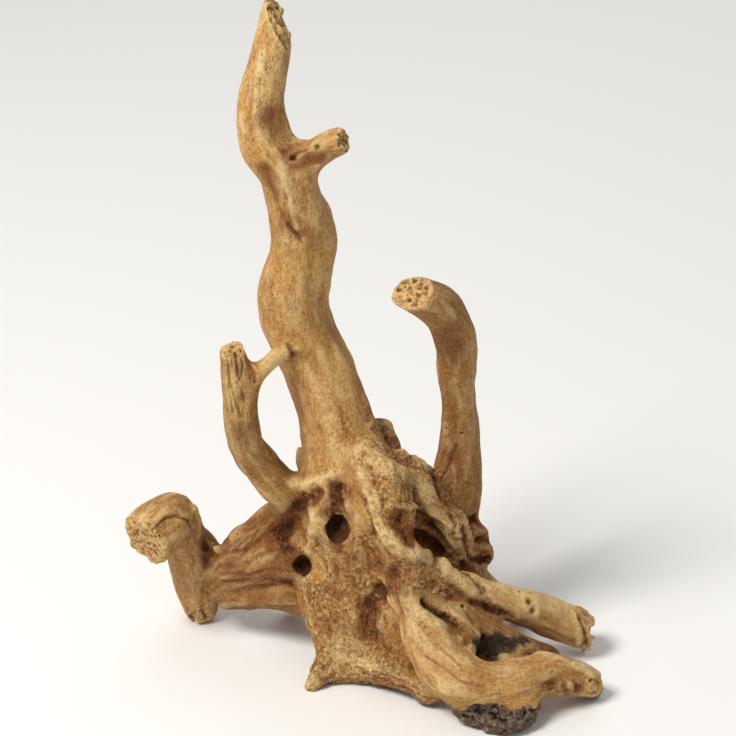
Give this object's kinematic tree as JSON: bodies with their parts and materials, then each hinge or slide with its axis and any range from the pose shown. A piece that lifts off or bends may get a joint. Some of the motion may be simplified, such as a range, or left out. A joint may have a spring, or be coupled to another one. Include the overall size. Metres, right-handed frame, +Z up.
{
  "type": "mopani wood",
  "caption": "Weathered piece of mopani root wood: a crooked upright trunk with a hooked branch and a twig, standing on spread roots.",
  "frame": {"origin": "middle of the piece's box, at the height of the surface that it stands on", "axes": "+Z up along the trunk, +X towards the long roots on the right, -Y towards the viewer"},
  "size_m": [0.252, 0.1698, 0.3598],
  "materials": {
    "weathered_wood": "bleached and sandblasted root wood, matt, golden tan with reddish-brown pits"
  },
  "bodies": {
    "root": {"mopani_wood": "weathered_wood"}
  },
  "joints": []
}
